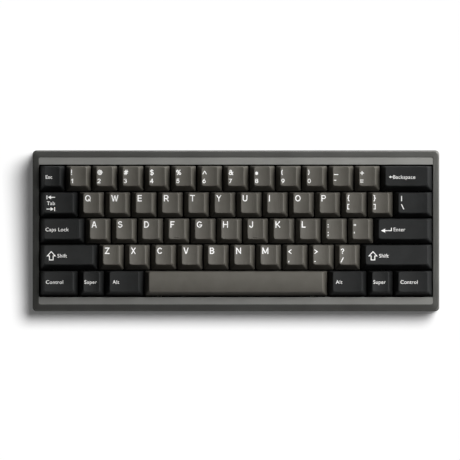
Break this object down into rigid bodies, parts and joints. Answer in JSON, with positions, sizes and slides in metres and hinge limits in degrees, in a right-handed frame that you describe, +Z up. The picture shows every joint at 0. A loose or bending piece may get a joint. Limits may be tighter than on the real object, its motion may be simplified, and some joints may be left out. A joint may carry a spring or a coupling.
{
  "type": "compact mechanical keyboard",
  "caption": "Compact mechanical keyboard: wedge-shaped metal case, gasket-held plate, sprung keycaps on separate switches, stabiliser wires under the wide keys, rubber feet and a lead port.",
  "frame": {"origin": "middle of the case's footprint, on the table under the feet", "axes": "+X to the right along the rows, +Y to the back, +Z up; the key deck rises 6 degrees to the back"},
  "size_m": [0.2952, 0.1192, 0.0398],
  "materials": {
    "case_metal": "bead blasted and anodised dark warm grey",
    "plate_metal": "anodised black",
    "board_laminate": "glass laminate with dark solder mask",
    "chip_resin": "moulded resin",
    "socket_steel": "stamped steel",
    "gasket_foam": "closed-cell foam",
    "screw_steel": "blackened steel",
    "foot_rubber": "matte moulded rubber",
    "switch_nylon": "moulded nylon",
    "switch_cover": "moulded",
    "stabiliser_nylon": "moulded nylon",
    "wire_steel": "drawn spring wire",
    "cap_grey": "fine-grained moulded plastic, warm grey",
    "cap_charcoal": "fine-grained moulded plastic, charcoal"
  },
  "bodies": {
    "case": {"top_case": "case_metal", "bottom_case": "case_metal", "switch_plate": "plate_metal", "circuit_board": "board_laminate", "controller_chip": "chip_resin", "usb_socket": "socket_steel", "gasket_strips": "gasket_foam", "case_screws": "screw_steel", "rubber_feet": "foot_rubber", "switch_bases": "switch_nylon", "switch_tops": "switch_cover", "stabiliser_housings": "stabiliser_nylon"},
    "key_space": {"key_space": "cap_grey"},
    "key_left_shift": {"key_left_shift": "cap_charcoal"},
    "key_right_shift": {"key_right_shift": "cap_charcoal"},
    "key_enter": {"key_enter": "cap_charcoal"},
    "key_backspace": {"key_backspace": "cap_charcoal"},
    "key_tab": {"key_tab": "cap_charcoal"},
    "key_caps_lock": {"key_caps_lock": "cap_charcoal"},
    "key_escape": {"key_escape": "cap_charcoal"},
    "key_backslash": {"key_backslash": "cap_charcoal"},
    "keys_one_to_six": {"keys_one_to_six": "cap_grey"},
    "keys_seven_to_equals": {"keys_seven_to_equals": "cap_grey"},
    "keys_square_brackets": {"keys_square_brackets": "cap_grey"},
    "keys_semicolon_quote": {"keys_semicolon_quote": "cap_grey"},
    "keys_comma_to_slash": {"keys_comma_to_slash": "cap_grey"},
    "keys_left_modifiers": {"keys_left_modifiers": "cap_charcoal"},
    "keys_right_modifiers": {"keys_right_modifiers": "cap_charcoal"},
    "key_q": {"key_q": "cap_grey"},
    "key_w": {"key_w": "cap_grey"},
    "key_e": {"key_e": "cap_grey"},
    "key_r": {"key_r": "cap_grey"},
    "key_t": {"key_t": "cap_grey"},
    "key_y": {"key_y": "cap_grey"},
    "key_u": {"key_u": "cap_grey"},
    "key_i": {"key_i": "cap_grey"},
    "key_o": {"key_o": "cap_grey"},
    "key_p": {"key_p": "cap_grey"},
    "key_a": {"key_a": "cap_grey"},
    "key_s": {"key_s": "cap_grey"},
    "key_d": {"key_d": "cap_grey"},
    "key_f": {"key_f": "cap_grey"},
    "key_g": {"key_g": "cap_grey"},
    "key_h": {"key_h": "cap_grey"},
    "key_j": {"key_j": "cap_grey"},
    "key_k": {"key_k": "cap_grey"},
    "key_l": {"key_l": "cap_grey"},
    "key_z": {"key_z": "cap_grey"},
    "key_x": {"key_x": "cap_grey"},
    "key_c": {"key_c": "cap_grey"},
    "key_v": {"key_v": "cap_grey"},
    "key_b": {"key_b": "cap_grey"},
    "key_n": {"key_n": "cap_grey"},
    "key_m": {"key_m": "cap_grey"},
    "wire_space": {"wire_space": "wire_steel"},
    "wire_left_shift": {"wire_left_shift": "wire_steel"},
    "wire_right_shift": {"wire_right_shift": "wire_steel"},
    "wire_enter": {"wire_enter": "wire_steel"},
    "wire_backspace": {"wire_backspace": "wire_steel"}
  },
  "joints": [
    {"name": "press_space", "type": "slide", "parent": "case", "child": "key_space", "axis": [0, 0.1045, -0.9945], "range_m": [0, 0.004], "stiffness_N_per_m": 77, "springref_m": -0.0039},
    {"name": "press_left_shift", "type": "slide", "parent": "case", "child": "key_left_shift", "axis": [0, 0.1045, -0.9945], "range_m": [0, 0.004], "stiffness_N_per_m": 77, "springref_m": -0.0039},
    {"name": "press_right_shift", "type": "slide", "parent": "case", "child": "key_right_shift", "axis": [0, 0.1045, -0.9945], "range_m": [0, 0.004], "stiffness_N_per_m": 77, "springref_m": -0.0039},
    {"name": "press_enter", "type": "slide", "parent": "case", "child": "key_enter", "axis": [0, 0.1045, -0.9945], "range_m": [0, 0.004], "stiffness_N_per_m": 77, "springref_m": -0.0039},
    {"name": "press_backspace", "type": "slide", "parent": "case", "child": "key_backspace", "axis": [0, 0.1045, -0.9945], "range_m": [0, 0.004], "stiffness_N_per_m": 77, "springref_m": -0.0039},
    {"name": "press_tab", "type": "slide", "parent": "case", "child": "key_tab", "axis": [0, 0.1045, -0.9945], "range_m": [0, 0.004], "stiffness_N_per_m": 77, "springref_m": -0.0039},
    {"name": "press_caps_lock", "type": "slide", "parent": "case", "child": "key_caps_lock", "axis": [0, 0.1045, -0.9945], "range_m": [0, 0.004], "stiffness_N_per_m": 77, "springref_m": -0.0039},
    {"name": "press_escape", "type": "slide", "parent": "case", "child": "key_escape", "axis": [0, 0.1045, -0.9945], "range_m": [0, 0.004], "stiffness_N_per_m": 77, "springref_m": -0.0039},
    {"name": "press_backslash", "type": "slide", "parent": "case", "child": "key_backslash", "axis": [0, 0.1045, -0.9945], "range_m": [0, 0.004], "stiffness_N_per_m": 77, "springref_m": -0.0039},
    {"name": "press_one_to_six", "type": "slide", "parent": "case", "child": "keys_one_to_six", "axis": [0, 0.1045, -0.9945], "range_m": [0, 0.004], "stiffness_N_per_m": 462, "springref_m": -0.0039},
    {"name": "press_seven_to_equals", "type": "slide", "parent": "case", "child": "keys_seven_to_equals", "axis": [0, 0.1045, -0.9945], "range_m": [0, 0.004], "stiffness_N_per_m": 462, "springref_m": -0.0039},
    {"name": "press_square_brackets", "type": "slide", "parent": "case", "child": "keys_square_brackets", "axis": [0, 0.1045, -0.9945], "range_m": [0, 0.004], "stiffness_N_per_m": 154, "springref_m": -0.0039},
    {"name": "press_semicolon_quote", "type": "slide", "parent": "case", "child": "keys_semicolon_quote", "axis": [0, 0.1045, -0.9945], "range_m": [0, 0.004], "stiffness_N_per_m": 154, "springref_m": -0.0039},
    {"name": "press_comma_to_slash", "type": "slide", "parent": "case", "child": "keys_comma_to_slash", "axis": [0, 0.1045, -0.9945], "range_m": [0, 0.004], "stiffness_N_per_m": 231, "springref_m": -0.0039},
    {"name": "press_left_modifiers", "type": "slide", "parent": "case", "child": "keys_left_modifiers", "axis": [0, 0.1045, -0.9945], "range_m": [0, 0.004], "stiffness_N_per_m": 231, "springref_m": -0.0039},
    {"name": "press_right_modifiers", "type": "slide", "parent": "case", "child": "keys_right_modifiers", "axis": [0, 0.1045, -0.9945], "range_m": [0, 0.004], "stiffness_N_per_m": 231, "springref_m": -0.0039},
    {"name": "press_q", "type": "slide", "parent": "case", "child": "key_q", "axis": [0, 0.1045, -0.9945], "range_m": [0, 0.004], "stiffness_N_per_m": 77, "springref_m": -0.0039},
    {"name": "press_w", "type": "slide", "parent": "case", "child": "key_w", "axis": [0, 0.1045, -0.9945], "range_m": [0, 0.004], "stiffness_N_per_m": 77, "springref_m": -0.0039},
    {"name": "press_e", "type": "slide", "parent": "case", "child": "key_e", "axis": [0, 0.1045, -0.9945], "range_m": [0, 0.004], "stiffness_N_per_m": 77, "springref_m": -0.0039},
    {"name": "press_r", "type": "slide", "parent": "case", "child": "key_r", "axis": [0, 0.1045, -0.9945], "range_m": [0, 0.004], "stiffness_N_per_m": 77, "springref_m": -0.0039},
    {"name": "press_t", "type": "slide", "parent": "case", "child": "key_t", "axis": [0, 0.1045, -0.9945], "range_m": [0, 0.004], "stiffness_N_per_m": 77, "springref_m": -0.0039},
    {"name": "press_y", "type": "slide", "parent": "case", "child": "key_y", "axis": [0, 0.1045, -0.9945], "range_m": [0, 0.004], "stiffness_N_per_m": 77, "springref_m": -0.0039},
    {"name": "press_u", "type": "slide", "parent": "case", "child": "key_u", "axis": [0, 0.1045, -0.9945], "range_m": [0, 0.004], "stiffness_N_per_m": 77, "springref_m": -0.0039},
    {"name": "press_i", "type": "slide", "parent": "case", "child": "key_i", "axis": [0, 0.1045, -0.9945], "range_m": [0, 0.004], "stiffness_N_per_m": 77, "springref_m": -0.0039},
    {"name": "press_o", "type": "slide", "parent": "case", "child": "key_o", "axis": [0, 0.1045, -0.9945], "range_m": [0, 0.004], "stiffness_N_per_m": 77, "springref_m": -0.0039},
    {"name": "press_p", "type": "slide", "parent": "case", "child": "key_p", "axis": [0, 0.1045, -0.9945], "range_m": [0, 0.004], "stiffness_N_per_m": 77, "springref_m": -0.0039},
    {"name": "press_a", "type": "slide", "parent": "case", "child": "key_a", "axis": [0, 0.1045, -0.9945], "range_m": [0, 0.004], "stiffness_N_per_m": 77, "springref_m": -0.0039},
    {"name": "press_s", "type": "slide", "parent": "case", "child": "key_s", "axis": [0, 0.1045, -0.9945], "range_m": [0, 0.004], "stiffness_N_per_m": 77, "springref_m": -0.0039},
    {"name": "press_d", "type": "slide", "parent": "case", "child": "key_d", "axis": [0, 0.1045, -0.9945], "range_m": [0, 0.004], "stiffness_N_per_m": 77, "springref_m": -0.0039},
    {"name": "press_f", "type": "slide", "parent": "case", "child": "key_f", "axis": [0, 0.1045, -0.9945], "range_m": [0, 0.004], "stiffness_N_per_m": 77, "springref_m": -0.0039},
    {"name": "press_g", "type": "slide", "parent": "case", "child": "key_g", "axis": [0, 0.1045, -0.9945], "range_m": [0, 0.004], "stiffness_N_per_m": 77, "springref_m": -0.0039},
    {"name": "press_h", "type": "slide", "parent": "case", "child": "key_h", "axis": [0, 0.1045, -0.9945], "range_m": [0, 0.004], "stiffness_N_per_m": 77, "springref_m": -0.0039},
    {"name": "press_j", "type": "slide", "parent": "case", "child": "key_j", "axis": [0, 0.1045, -0.9945], "range_m": [0, 0.004], "stiffness_N_per_m": 77, "springref_m": -0.0039},
    {"name": "press_k", "type": "slide", "parent": "case", "child": "key_k", "axis": [0, 0.1045, -0.9945], "range_m": [0, 0.004], "stiffness_N_per_m": 77, "springref_m": -0.0039},
    {"name": "press_l", "type": "slide", "parent": "case", "child": "key_l", "axis": [0, 0.1045, -0.9945], "range_m": [0, 0.004], "stiffness_N_per_m": 77, "springref_m": -0.0039},
    {"name": "press_z", "type": "slide", "parent": "case", "child": "key_z", "axis": [0, 0.1045, -0.9945], "range_m": [0, 0.004], "stiffness_N_per_m": 77, "springref_m": -0.0039},
    {"name": "press_x", "type": "slide", "parent": "case", "child": "key_x", "axis": [0, 0.1045, -0.9945], "range_m": [0, 0.004], "stiffness_N_per_m": 77, "springref_m": -0.0039},
    {"name": "press_c", "type": "slide", "parent": "case", "child": "key_c", "axis": [0, 0.1045, -0.9945], "range_m": [0, 0.004], "stiffness_N_per_m": 77, "springref_m": -0.0039},
    {"name": "press_v", "type": "slide", "parent": "case", "child": "key_v", "axis": [0, 0.1045, -0.9945], "range_m": [0, 0.004], "stiffness_N_per_m": 77, "springref_m": -0.0039},
    {"name": "press_b", "type": "slide", "parent": "case", "child": "key_b", "axis": [0, 0.1045, -0.9945], "range_m": [0, 0.004], "stiffness_N_per_m": 77, "springref_m": -0.0039},
    {"name": "press_n", "type": "slide", "parent": "case", "child": "key_n", "axis": [0, 0.1045, -0.9945], "range_m": [0, 0.004], "stiffness_N_per_m": 77, "springref_m": -0.0039},
    {"name": "press_m", "type": "slide", "parent": "case", "child": "key_m", "axis": [0, 0.1045, -0.9945], "range_m": [0, 0.004], "stiffness_N_per_m": 77, "springref_m": -0.0039},
    {"name": "turn_wire_space", "type": "hinge", "parent": "case", "child": "wire_space", "pos_m": [0, -0.04753, 0.01193], "axis": [1, 0, 0], "range_deg": [-24, 0]},
    {"name": "turn_wire_left_shift", "type": "hinge", "parent": "case", "child": "wire_left_shift", "pos_m": [-0.12144, -0.02859, 0.01392], "axis": [1, 0, 0], "range_deg": [-24, 0]},
    {"name": "turn_wire_right_shift", "type": "hinge", "parent": "case", "child": "wire_right_shift", "pos_m": [0.11668, -0.02859, 0.01392], "axis": [1, 0, 0], "range_deg": [-24, 0]},
    {"name": "turn_wire_enter", "type": "hinge", "parent": "case", "child": "wire_enter", "pos_m": [0.12144, -0.00964, 0.01591], "axis": [1, 0, 0], "range_deg": [-24, 0]},
    {"name": "turn_wire_backspace", "type": "hinge", "parent": "case", "child": "wire_backspace", "pos_m": [0.12383, 0.02825, 0.01989], "axis": [1, 0, 0], "range_deg": [-24, 0]}
  ],
  "couplings": [
    {"joint": "turn_wire_space", "follows": "press_space", "rad_per_m": -102.07},
    {"joint": "turn_wire_left_shift", "follows": "press_left_shift", "rad_per_m": -102.07},
    {"joint": "turn_wire_right_shift", "follows": "press_right_shift", "rad_per_m": -102.07},
    {"joint": "turn_wire_enter", "follows": "press_enter", "rad_per_m": -102.07},
    {"joint": "turn_wire_backspace", "follows": "press_backspace", "rad_per_m": -102.07}
  ]
}
